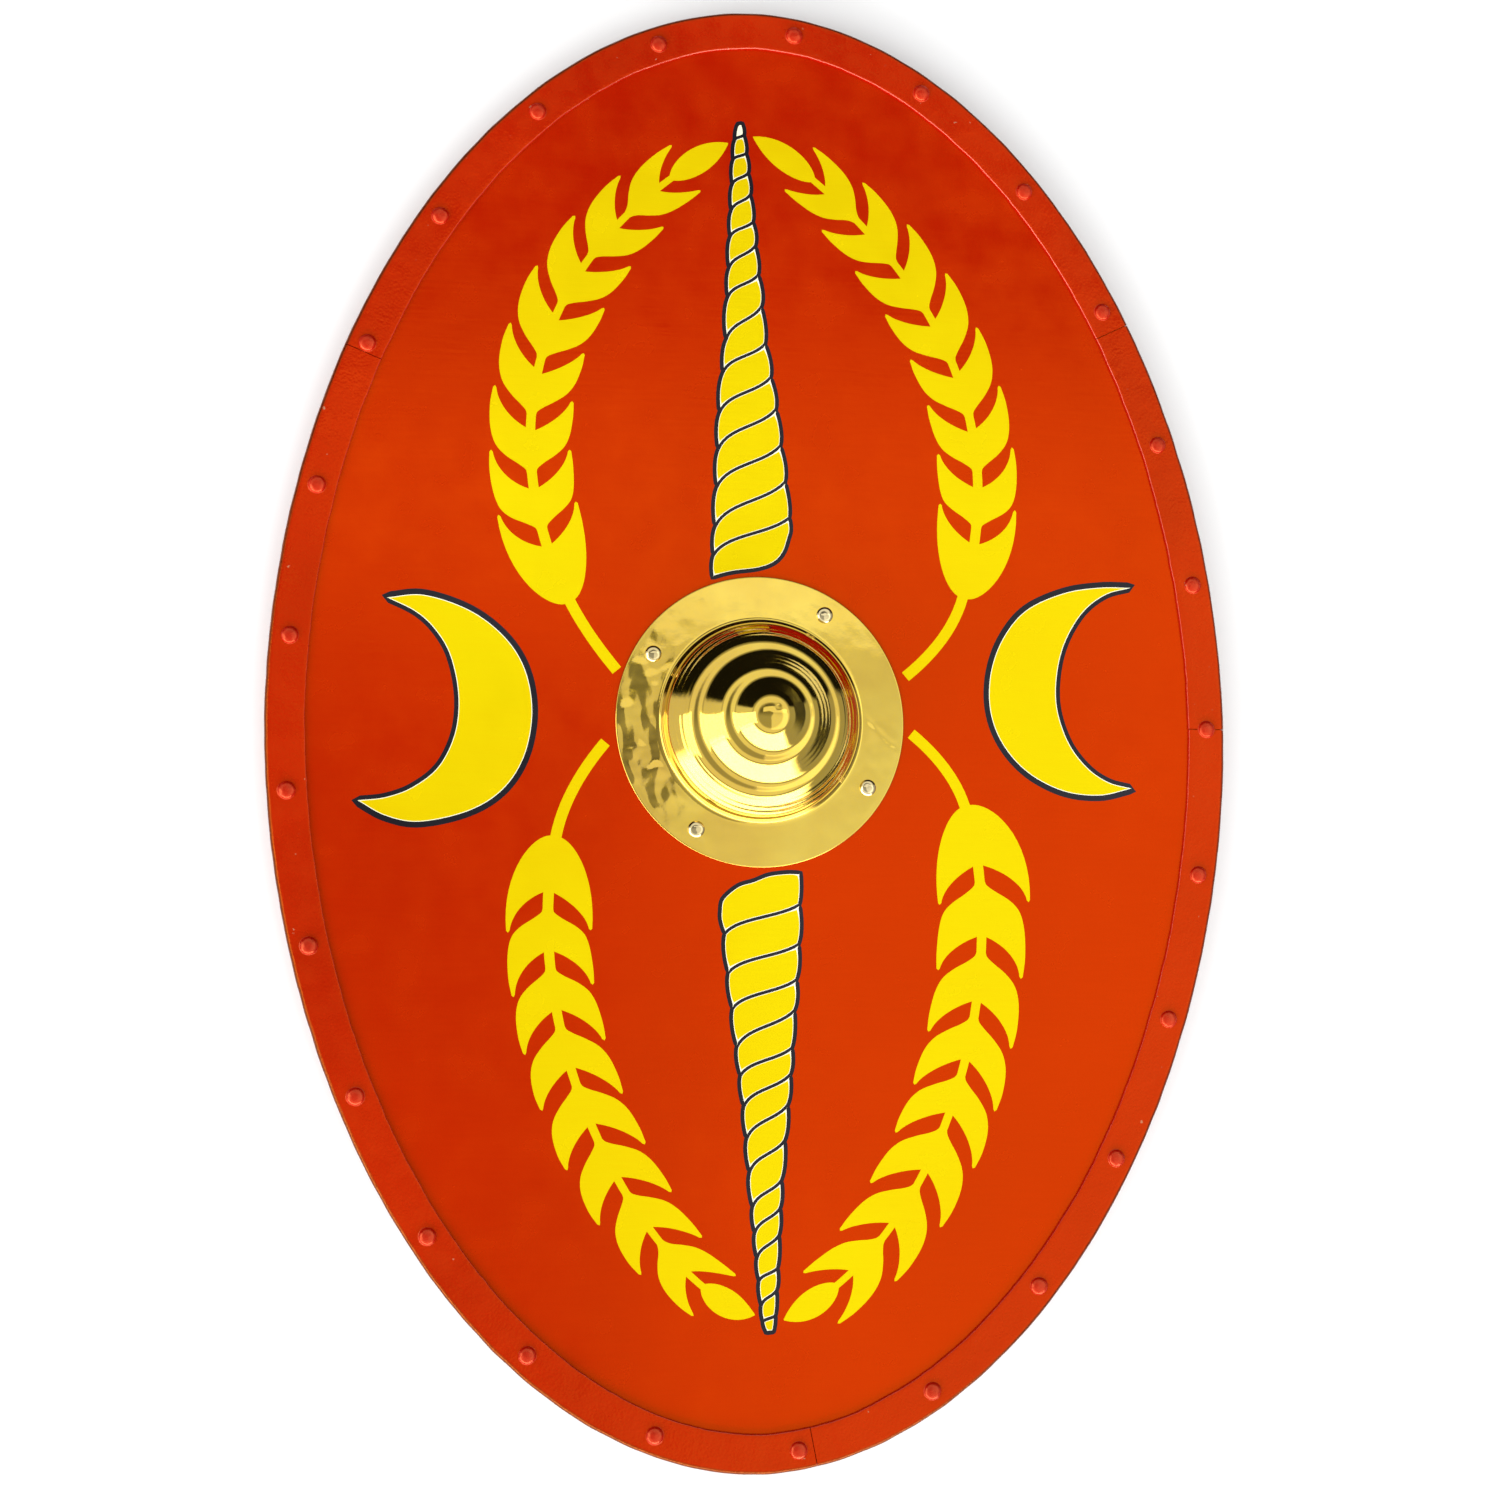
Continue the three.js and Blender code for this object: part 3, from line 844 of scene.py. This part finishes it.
def painted_board():
    places, triangles, paint_of = face_triangles()
    mesh = bmesh.new()
    corners = [mesh.verts.new((p.x, p.y, BOARD_FRONT)) for p in places]
    for triangle, paint in zip(triangles, paint_of):
        if paint != HOLE:
            mesh.faces.new([corners[i] for i in triangle]).material_index = int(paint)
    bmesh.ops.delete(mesh, geom=[v for v in mesh.verts if not v.link_faces], context="VERTS")
    rim = [e for e in mesh.edges if e.is_boundary]
    for item in bmesh.ops.extrude_edge_only(mesh, edges=rim)["geom"]:
        if isinstance(item, bmesh.types.BMVert):
            item.co.z = BOARD_BACK
        if isinstance(item, bmesh.types.BMFace):
            item.material_index = BARE_WOOD
    rim = [e for e in mesh.edges if e.is_boundary]
    for item in bmesh.ops.triangle_fill(mesh, edges=rim, use_beauty=True)["geom"]:
        if isinstance(item, bmesh.types.BMFace):
            item.material_index = BARE_WOOD
    obj = linked("board_painted", mesh_of(mesh, "board_painted", board_materials))
    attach(obj, "root")
    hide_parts("board")


painted_board()

# Edging: a folded band of leather swept along the outline, one piece a length
STATION_STEP = 2.6
FOLD_RADIUS = 3.4
LIP_RADIUS = 1.0
LIP_GAP = 0.05
FRONT_INSETS = (24.5, 21.5, 19, 16.5, RIM_RIVET_INSET, 12.3, 10, 7.5, 5.2)
BACK_INSETS = (8, RIM_RIVET_INSET, 21)
FARTHEST_LIP = 0.7
RIVET_DIP = 0.22
RIVET_DIP_REACH = 9.5
WRINKLE_PLACE = Vector((247, 262))
WRINKLE_REACH = 24
WRINKLE_HEIGHT = 0.30
rim_rivet_places = [outline_point(i / RIM_RIVET_COUNT, RIM_RIVET_INSET) for i in range(RIM_RIVET_COUNT)]


def arc(inset, height, radius, start, end, steps):
    """A round bend of the section, between two angles in degrees."""
    bend = []
    for i in range(steps + 1):
        angle = math.radians(start + (end - start) * i / steps)
        bend.append((inset - radius * math.cos(angle), height + radius * math.sin(angle)))
    return bend


def edging_section():
    """Corners of the section as (inset, height), from under the front lip round the outside."""
    front = EDGING_FRONT
    back = EDGING_BACK
    lip_middle = EDGING_WIDTH - LIP_RADIUS
    section = [(EDGING_WIDTH, BOARD_FRONT + LIP_GAP)]
    section += arc(lip_middle, front - LIP_RADIUS, LIP_RADIUS, 180, 90, 5)
    section += [(inset, front) for inset in FRONT_INSETS]
    section += arc(FOLD_RADIUS, front - FOLD_RADIUS, FOLD_RADIUS, 90, 0, 6)
    section += arc(FOLD_RADIUS, back + FOLD_RADIUS, FOLD_RADIUS, 0, -90, 6)
    section += [(inset, back) for inset in BACK_INSETS]
    section += arc(lip_middle, back + LIP_RADIUS, LIP_RADIUS, -90, -180, 4)
    section += [(EDGING_WIDTH, BOARD_BACK - LIP_GAP), (EDGING_INNER_INSET, BOARD_BACK - LIP_GAP)]
    section += [(EDGING_INNER_INSET, BOARD_FRONT + LIP_GAP)]
    return section


def leather(point, inset, height, share):
    """The leather isn't quite even: it dips round the rivets, its lip wanders and it wrinkles."""
    top = smooth_step(BOARD_FRONT + 0.4, EDGING_FRONT - 0.1, height)
    lip = smooth_step(EDGING_WIDTH - 6, EDGING_WIDTH, inset)
    fold = 1 - smooth_step(0, 4, inset)
    around = share * PERIMETER
    wander = 0.45 * wobble(around, 0, 1.3, 23) + 0.30 * wobble(around, 0, 4.1, 7)
    inset += lip * (wander + 0.35) + fold * (0.25 + 0.35 * wobble(around, 0, 8.2, 17))
    inset = max(min(inset, EDGING_WIDTH + FARTHEST_LIP), 0)
    if top > 0:
        nearest = min((point - place).length for place in rim_rivet_places)
        height -= top * RIVET_DIP * math.exp(-((nearest / RIVET_DIP_REACH) ** 2))
        broad_waves = 0.16 * wobble(point.x, point.y, 2.2, 19)
        height += top * (broad_waves + 0.09 * wobble(point.x, point.y, 7.0, 6) - 0.12)
        near = (point - WRINKLE_PLACE).length / WRINKLE_REACH
        wrinkle = math.sin(around / 2.1 + 1.6 * wobble(point.x, point.y, 9.0, 9))
        height += top * WRINKLE_HEIGHT * wrinkle * math.exp(-near * near) * smooth_step(8, 24, inset)
    return inset, height


def edging(name, start, end):
    """One length of edging, between two shares of the way round the outline."""
    section = edging_section()
    steps = math.ceil((end - start) * PERIMETER / STATION_STEP)
    verts, faces = [], []
    for step in range(steps + 1):
        share = start + (end - start) * step / steps
        place, out = outline_place(share)
        for inset, height in section:
            new_inset, new_height = leather(place - out * inset, inset, height, share)
            spot = place - out * new_inset
            verts.append((spot.x, spot.y, new_height))
    count = len(section)
    for step in range(steps):
        faces += ring_faces((step + 1) * count, step * count, count)
    faces.append(tuple(range(count - 1, -1, -1)))
    faces.append(tuple(range(steps * count, (steps + 1) * count)))
    new_piece(name + "_leather", verts, faces, edging_paint_and_shade, name, sharp=50)


seam_shares = [number / RIM_RIVET_COUNT + past / PERIMETER for _, number, past in SEAMS]
half_gap = SEAM_GAP / 2 / PERIMETER
for (name, _, _), start, end in zip(SEAMS, seam_shares, seam_shares[1:] + [1 + seam_shares[0]]):
    edging(name, start + half_gap, end - half_gap)


# Rivets: a domed head with paint gathered round its foot, a shank and a closed tail
HEAD_SEAT = 0.05
HEAD_HEIGHT = 3.1
HEAD_STEPS = 9
TAIL_SEAT = 0.3
TAIL_HEIGHT = 1.7
RIVET_SIDES = 28
RIVET_LEAN = 0.05
RIVET_DENT = 0.16
HIGHEST_DENT = 0.12
BOSS_RIVET_COUNT = 4
FIRST_BOSS_RIVET_NUMBER = 40


def rivet(node, place, front, back, material, number, foot):
    """Through what lies between these two heights. The foot is how far the head's foot stands out, and
    the number picks how uneven the rivet is."""
    seat = front + HEAD_SEAT
    tail_seat = back - TAIL_SEAT
    squash = 1 + 0.05 * noise.noise(Vector((number * 5.3, 0.7, 2.0)))
    radius = RIVET_HEAD_RADIUS * (1 - 0.03 * abs(noise.noise(Vector((number * 2.9, 3.1, 0.4)))))
    rise = (front + HEAD_HEIGHT - seat) * (1 - 0.06 * abs(noise.noise(Vector((number * 1.7, 0.2, 5.5)))))
    lean_x = RIVET_LEAN * noise.noise(Vector((number * 4.1, 9.2, 0.3)))
    lean_y = RIVET_LEAN * noise.noise(Vector((number * 3.3, 1.8, 7.7)))
    profile = [(0, seat + rise)]
    for i in range(1, HEAD_STEPS + 1):
        turn = math.radians(90 * i / HEAD_STEPS)
        profile.append((radius * math.sin(turn) ** 0.92, seat + rise * math.cos(turn) ** 0.85))
    profile += [(radius + foot * 0.35, seat - 0.15), (radius + foot, seat - 0.45), (radius, seat - 0.7)]
    profile += [(RIVET_SHANK_RADIUS, seat - 0.7), (RIVET_SHANK_RADIUS, tail_seat + 0.2)]
    profile += [(RIVET_TAIL_RADIUS, tail_seat + 0.2), (RIVET_TAIL_RADIUS * 0.96, tail_seat - 0.4)]
    profile += [(RIVET_TAIL_RADIUS * 0.6, back - TAIL_HEIGHT + 0.25), (0, back - TAIL_HEIGHT)]

    def move(point, radius):
        offset = point - Vector((place.x, place.y, 0))
        if point.z > seat - 0.2:
            dent = RIVET_DENT * wobble(offset.x + number * 31, offset.y, 3.0, 3.2)
            uneven = min(offset.x * lean_x + offset.y * lean_y + dent, HIGHEST_DENT)
            point.z += uneven - HIGHEST_DENT
            point.x = place.x + offset.x * squash
        return point

    verts, faces = turned(profile, RIVET_SIDES, place, move)
    new_piece(node + "_domed", verts, faces, material, node, sharp=60)


for i, place in enumerate(rim_rivet_places):
    rivet(
        f"rim_rivet_{i + 1:02d}", place, EDGING_FRONT, EDGING_BACK, rivet_paint,
        number=i + 1, foot=0.9,
    )
for i in range(BOSS_RIVET_COUNT):
    turn = math.radians(BOSS_RIVET_TURN + 90 * i)
    place = Vector((math.cos(turn), math.sin(turn))) * BOSS_RIVET_CIRCLE
    rivet(
        f"boss_rivet_{i + 1}", place, FLANGE_FRONT, BOARD_BACK, rivet_brass,
        number=FIRST_BOSS_RIVET_NUMBER + i, foot=0.2,
    )

# Boss: thin spun brass, with turning rings on its slopes and a flange beaten flat by hand
BRASS_THICKNESS = 1.2
BOSS_SIDES = 288
BOSS_LINE = (
    (0, 51.9), (7, 51.4), (13.5, 49.3), (27, 38.8), (34, 36.9), (48, 25.5), (55, 23.5), (61, 19.2),
    (70.8, 9.6), (DOME_RADIUS, 0), (FLANGE_RADIUS, 0),
)
BOSS_BEND = 3.2
RING_HEIGHT = 0.065
RING_PITCH = 3.1
# Bands of radius: where each starts, is whole, starts to fade and ends
LOW_RINGS = (55, 59, 69, 73)
HIGH_RINGS = (35, 38, 44, 48)
HIGH_RINGS_SHARE = 0.3
BEATEN_FLANGE = (76, 82, 101, 105)
UNEVEN_SLOPES = (13, 17, 69, 75)
SLOPE_UNEVEN = 0.22
# How rough the flange is all round, and most in two patches: direction and spread in degrees, roughness
ROUGH_ALL_ROUND = 0.07
ROUGH_LEFT = (190, 38, 0.80)
ROUGH_RIGHT = (345, 30, 0.25)
CREASE = (Vector((76, 6)), Vector((89.7, -8.2)), Vector((94, -12.6)), Vector((103, -18.6)))
CREASE_DEPTH = 0.20
CREASE_HALF = 1.3
DING_PLACE = (3.5, 5.0)
DING_SPREAD = 7.0
DING_DEPTH = 0.30
HEADROOM = 0.02


def line_distance(point, line):
    """How far the point is from a line of straight pieces, seen from above."""
    nearest = math.inf
    for a, b in zip(line, line[1:]):
        along = b - a
        share = min(max((point.xy - a).dot(along) / along.length_squared, 0), 1)
        nearest = min(nearest, (point.xy - a - along * share).length)
    return nearest


def beside(line, distances):
    """The open line with each of its points moved to its left."""
    moved = []
    for i, point in enumerate(line):
        before = line[max(i - 1, 0)]
        after = line[min(i + 1, len(line) - 1)]
        along = (after - before).normalized()
        moved.append(point + Vector((-along.y, along.x)) * distances[i])
    return moved


def ring_height(radius):
    """How high the turning rings stand at this radius."""
    strength = band(radius, *LOW_RINGS) + HIGH_RINGS_SHARE * band(radius, *HIGH_RINGS)
    return RING_HEIGHT * math.sin(radius * 2 * math.pi / RING_PITCH) * strength


def boss_profile():
    """Half the boss's section: over its face, round its rim and back along its inside."""
    line = divided(rounded(BOSS_LINE, BOSS_BEND, 6), 1.1)
    face = beside(line, [ring_height(point.x) for point in line])
    line = divided(rounded(BOSS_LINE, BOSS_BEND, 3), 5)
    inside = beside(line, [-BRASS_THICKNESS] * len(line))
    inside[0] = Vector((0, BOSS_LINE[0][1] - BRASS_THICKNESS))
    back = FLANGE_BACK - FLANGE_FRONT
    edge = FLANGE_RADIUS
    rim = [Vector((edge - 0.8, 0)), Vector((edge - 0.25, -0.12)), Vector((edge, -0.5))]
    rim += [Vector((edge, -0.9)), Vector((edge - 0.3, back))]
    inside = [point for point in inside if point.x < edge - 2]
    for point in inside:
        point.y = max(point.y, back)
    return [(p.x, p.y + FLANGE_FRONT) for p in face[:-1] + rim + inside[::-1]]


def rough_patch(turn, middle, spread, roughness):
    return roughness * math.exp(-(((turn - middle) / spread) ** 2))


def beaten(point, radius):
    """The boss isn't quite even: the flange is beaten and creased, and its top has a ding."""
    if point.z < FLANGE_BACK + 0.3 and radius > DOME_RADIUS:
        return point
    turn = math.degrees(math.atan2(point.y, point.x)) % 360
    flat = band(radius, *BEATEN_FLANGE)
    rough = ROUGH_ALL_ROUND + rough_patch(turn, *ROUGH_LEFT) + rough_patch(turn, *ROUGH_RIGHT)
    waves = 0.70 * wobble(point.x, point.y, 1.0, 15) + 0.22 * wobble(point.x, point.y, 5.0, 6.5)
    lift = flat * rough * waves
    lift -= flat * CREASE_DEPTH * math.exp(-((line_distance(point, CREASE) / CREASE_HALF) ** 2))
    lift += band(radius, *UNEVEN_SLOPES) * SLOPE_UNEVEN * wobble(point.x, point.y, 3.0, 26)
    from_ding = (point.x - DING_PLACE[0]) ** 2 + (point.y - DING_PLACE[1]) ** 2
    lift -= DING_DEPTH * math.exp(-(from_ding / DING_SPREAD))
    point.z = min(point.z + lift, FLANGE_FRONT + BOSS_LINE[0][1] - HEADROOM)
    return point


verts, faces = turned(boss_profile(), BOSS_SIDES, (0, 0), beaten)
new_piece("boss_spun", verts, faces, boss_brass, "boss", sharp=60)

# Grip: a flat bar with a waist for the hand, rounded edges and countersunk holes for its screws
GRIP_HALF_WIDTH = 21
GRIP_WAIST_HALF = 15
GRIP_FLARE_SHARE = 0.7
GRIP_NECK_SHARE = 0.4
GRIP_ROUNDING = 2.6
GRIP_STEP = 8
SCREW_X = 102
SCREW_Y = 10
SCREW_HOLE_RADIUS = 2.1
SCREW_HEAD_HOLE_RADIUS = 4.2
SCREW_HEAD_DEPTH = 0.85


def drill_screw_holes(obj):
    """Cuts the four holes, and makes the rounding of the grip's edges part of its mesh."""
    cone = SCREW_HEAD_HOLE_RADIUS - SCREW_HOLE_RADIUS
    profile = [
        (0, GRIP_THICKNESS + 1), (SCREW_HOLE_RADIUS, GRIP_THICKNESS + 1),
        (SCREW_HOLE_RADIUS, SCREW_HEAD_DEPTH + cone), (SCREW_HEAD_HOLE_RADIUS, SCREW_HEAD_DEPTH),
        (SCREW_HEAD_HOLE_RADIUS, -1), (0, -1),
    ]
    verts, faces = [], []
    for x in (-SCREW_X, SCREW_X):
        for y in (-SCREW_Y, SCREW_Y):
            more_verts, more_faces = turned(profile, 32, (x, y))
            faces += [tuple(len(verts) + i for i in face) for face in more_faces]
            verts += more_verts
    mesh = bpy.data.meshes.new("screw_holes")
    mesh.from_pydata([v * MM for v in verts], [], faces)
    cutter = linked("screw_holes", mesh)
    cut = obj.modifiers.new("screw_holes", "BOOLEAN")
    cut.object = cutter
    cut.solver = "EXACT"
    whole = obj.evaluated_get(bpy.context.evaluated_depsgraph_get())
    drilled = bpy.data.meshes.new_from_object(whole)
    obj.modifiers.clear()
    obj.data = drilled
    bpy.data.objects.remove(cutter)
    drilled.set_sharp_from_angle(angle=math.radians(35))


def grip_outline():
    end = GRIP_HALF_LENGTH
    wide = GRIP_HALF_WIDTH
    waist = GRIP_WAIST_HALF
    foot = HAND_HOLE_RADIUS
    flare = foot * GRIP_FLARE_SHARE
    neck = foot * GRIP_NECK_SHARE
    half = divided([Vector((end, wide)), Vector((foot, wide))], GRIP_STEP)
    half += cubic((foot, wide), (flare, wide), (flare, waist), (neck, waist), 16)[1:]
    half += divided([Vector((neck, waist)), Vector((-neck, waist))], GRIP_STEP)[1:]
    half += cubic((-neck, waist), (-flare, waist), (-flare, wide), (-foot, wide), 16)[1:]
    half += divided([Vector((-foot, wide)), Vector((-end, wide))], GRIP_STEP)[1:]
    return half + [Vector((-p.x, -p.y)) for p in half]


def grip():
    mesh = bmesh.new()
    face = mesh.faces.new([mesh.verts.new((p.x, p.y, 0)) for p in grip_outline()[::-1]])
    for item in bmesh.ops.extrude_face_region(mesh, geom=[face])["geom"]:
        if isinstance(item, bmesh.types.BMVert):
            item.co.z = GRIP_THICKNESS
    data = mesh_of(mesh, "grip_shaped", [grip_wood])
    data.polygons.foreach_set("use_smooth", [True] * len(data.polygons))
    obj = linked("grip_shaped", data)
    rounding = obj.modifiers.new("rounding", "BEVEL")
    rounding.width = GRIP_ROUNDING * MM
    rounding.segments = 4
    rounding.limit_method = "ANGLE"
    rounding.angle_limit = math.radians(45)
    drill_screw_holes(obj)
    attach(obj, "root")
    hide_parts("grip")


grip()

for i in range(4):
    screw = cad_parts[f"grip_screw_{i + 1}"]
    screw.data.materials.clear()
    screw.data.materials.append(screw_metal)


# Floor
FLOOR_HALF = 6.0


def floor_look():
    look = Look("floor_pale", Specular_IOR_Level=0.2)
    look.colour(look.ramp(look.noise(2.0, 2.0), (0.3, (0.91, 0.91, 0.905)), (0.7, (0.93, 0.93, 0.93))))
    look.roughness(look.level(look.noise(8.0, 3.0), 0.72, 0.80))
    return look.material


floor_mesh = bpy.data.meshes.new("floor")
floor_mesh.from_pydata(
    [(-FLOOR_HALF, -FLOOR_HALF, 0), (FLOOR_HALF, -FLOOR_HALF, 0),
     (FLOOR_HALF, FLOOR_HALF, 0), (-FLOOR_HALF, FLOOR_HALF, 0)], [], [(0, 1, 2, 3)],
)
floor_mesh.materials.append(floor_look())
floor = linked("floor", floor_mesh)


# Light: large soft panels, and a room that is brighter on the near side than on the far side
def panel(name, place, target, width, height, radiance):
    light = bpy.data.lights.new(name, "AREA")
    light.shape = "RECTANGLE"
    light.size = width
    light.size_y = height
    light.energy = radiance * math.pi * width * height
    facing = (Vector(target) - Vector(place)).to_track_quat("-Z", "Y").to_matrix().to_4x4()
    linked(name, light).matrix_world = Matrix.Translation(place) @ facing


PANEL_HEIGHT = 3.0
panel("overhead_near", (1.73, -0.84, PANEL_HEIGHT), (1.73, -0.84, 0.0), 2.92, 2.72, radiance=0.72)
panel("overhead_far", (1.0, 0.81, PANEL_HEIGHT), (1.0, 0.81, 0.0), 3.6, 0.58, radiance=1.25)
panel("left_side", (-2.2, -0.3, 1.5), (0.0, 0.0, 0.0), 1.5, 1.5, radiance=3.0)

# The room's brightness, and its parts: what each adds (or how far a dark one darkens), and its sides, by
# direction: an axis, where the part starts along it and where it is whole
ROOM_LEVEL = 0.55
DARKEST = 0.012
OVERHEAD_FAR = (-0.42, ("Y", -0.05, 0.25), ("Z", 0.84, 0.92))
LEFT_WALL = (0.5, ("X", -0.55, -0.80), ("Z", 0.60, 0.45))
UPPER_WALLS = (0.7, ("Z", 0.56, 0.64), ("Z", 0.88, 0.82))
NEAR_WINDOWS = (7.0, ("Y", -0.28, -0.48), ("X", 0.72, 0.55), ("Z", 0.06, 0.13), ("Z", 0.52, 0.42))
FAR_DARK = (1.0, ("Y", 0.33, 0.43), ("Z", 0.58, 0.42))
RIGHT_DARK = (0.9, ("X", 0.35, 0.75), ("Z", 0.16, 0.06))


def room():
    world = bpy.data.worlds.new("room")
    bpy.context.scene.world = world
    world.use_nodes = True
    nodes = world.node_tree.nodes
    links = world.node_tree.links
    coordinates = nodes.new("ShaderNodeTexCoord")
    split = nodes.new("ShaderNodeSeparateXYZ")
    links.new(coordinates.outputs["Generated"], split.inputs[0])

    def combined(kind, first, second):
        made = nodes.new("ShaderNodeMath")
        made.operation = kind
        for socket, value in zip(made.inputs, (first, second)):
            if isinstance(value, bpy.types.NodeSocket):
                links.new(value, socket)
            else:
                socket.default_value = value
        return made.outputs[0]

    def part(strength, *sides):
        """This strength in one part of the room, and 0 outside it."""
        for axis, start, whole in sides:
            made = nodes.new("ShaderNodeMapRange")
            made.interpolation_type = "SMOOTHSTEP"
            made.inputs["From Min"].default_value = start
            made.inputs["From Max"].default_value = whole
            links.new(split.outputs[axis], made.inputs["Value"])
            strength = combined("MULTIPLY", strength, made.outputs["Result"])
        return strength

    level = ROOM_LEVEL
    for brighter in (OVERHEAD_FAR, LEFT_WALL, UPPER_WALLS):
        level = combined("ADD", level, part(*brighter))
    dark = combined("MAXIMUM", part(*FAR_DARK), part(*RIGHT_DARK))
    level = combined("MULTIPLY", level, combined("SUBTRACT", 1.0, dark))
    level = combined("ADD", level, part(*NEAR_WINDOWS))
    level = combined("ADD", level, DARKEST)
    background = nodes["Background"]
    background.inputs["Color"].default_value = (1, 1, 1, 1)
    links.new(level, background.inputs["Strength"])


room()

# Camera at the photograph's viewing angle: a pinhole camera fitted to the outline and the boss
CAMERA_FROM_FACE = Vector((-0.3028, -0.1941, 1.6777))
CAMERA_RIGHT = Vector((0.9849, -0.0011, 0.1730))
CAMERA_UP = Vector((-0.0164, 0.9949, 0.0998))
CAMERA_LENS = 56.81
SENSOR_WIDTH = 36
camera_data = bpy.data.cameras.new("camera")
camera_data.sensor_width = SENSOR_WIDTH
camera_data.lens = CAMERA_LENS
camera_data.clip_start = 0.05
camera_data.clip_end = 50
camera = linked("camera", camera_data)
back = CAMERA_RIGHT.cross(CAMERA_UP).normalized()
up = back.cross(CAMERA_RIGHT).normalized()
right = CAMERA_RIGHT.normalized()
turn = Matrix((right, up, back)).transposed().to_4x4()
camera.matrix_world = Matrix.Translation(CAMERA_FROM_FACE + Vector((0, 0, BOARD_FRONT * MM))) @ turn
bpy.context.scene.camera = camera
bpy.context.scene.view_settings.view_transform = "Standard"
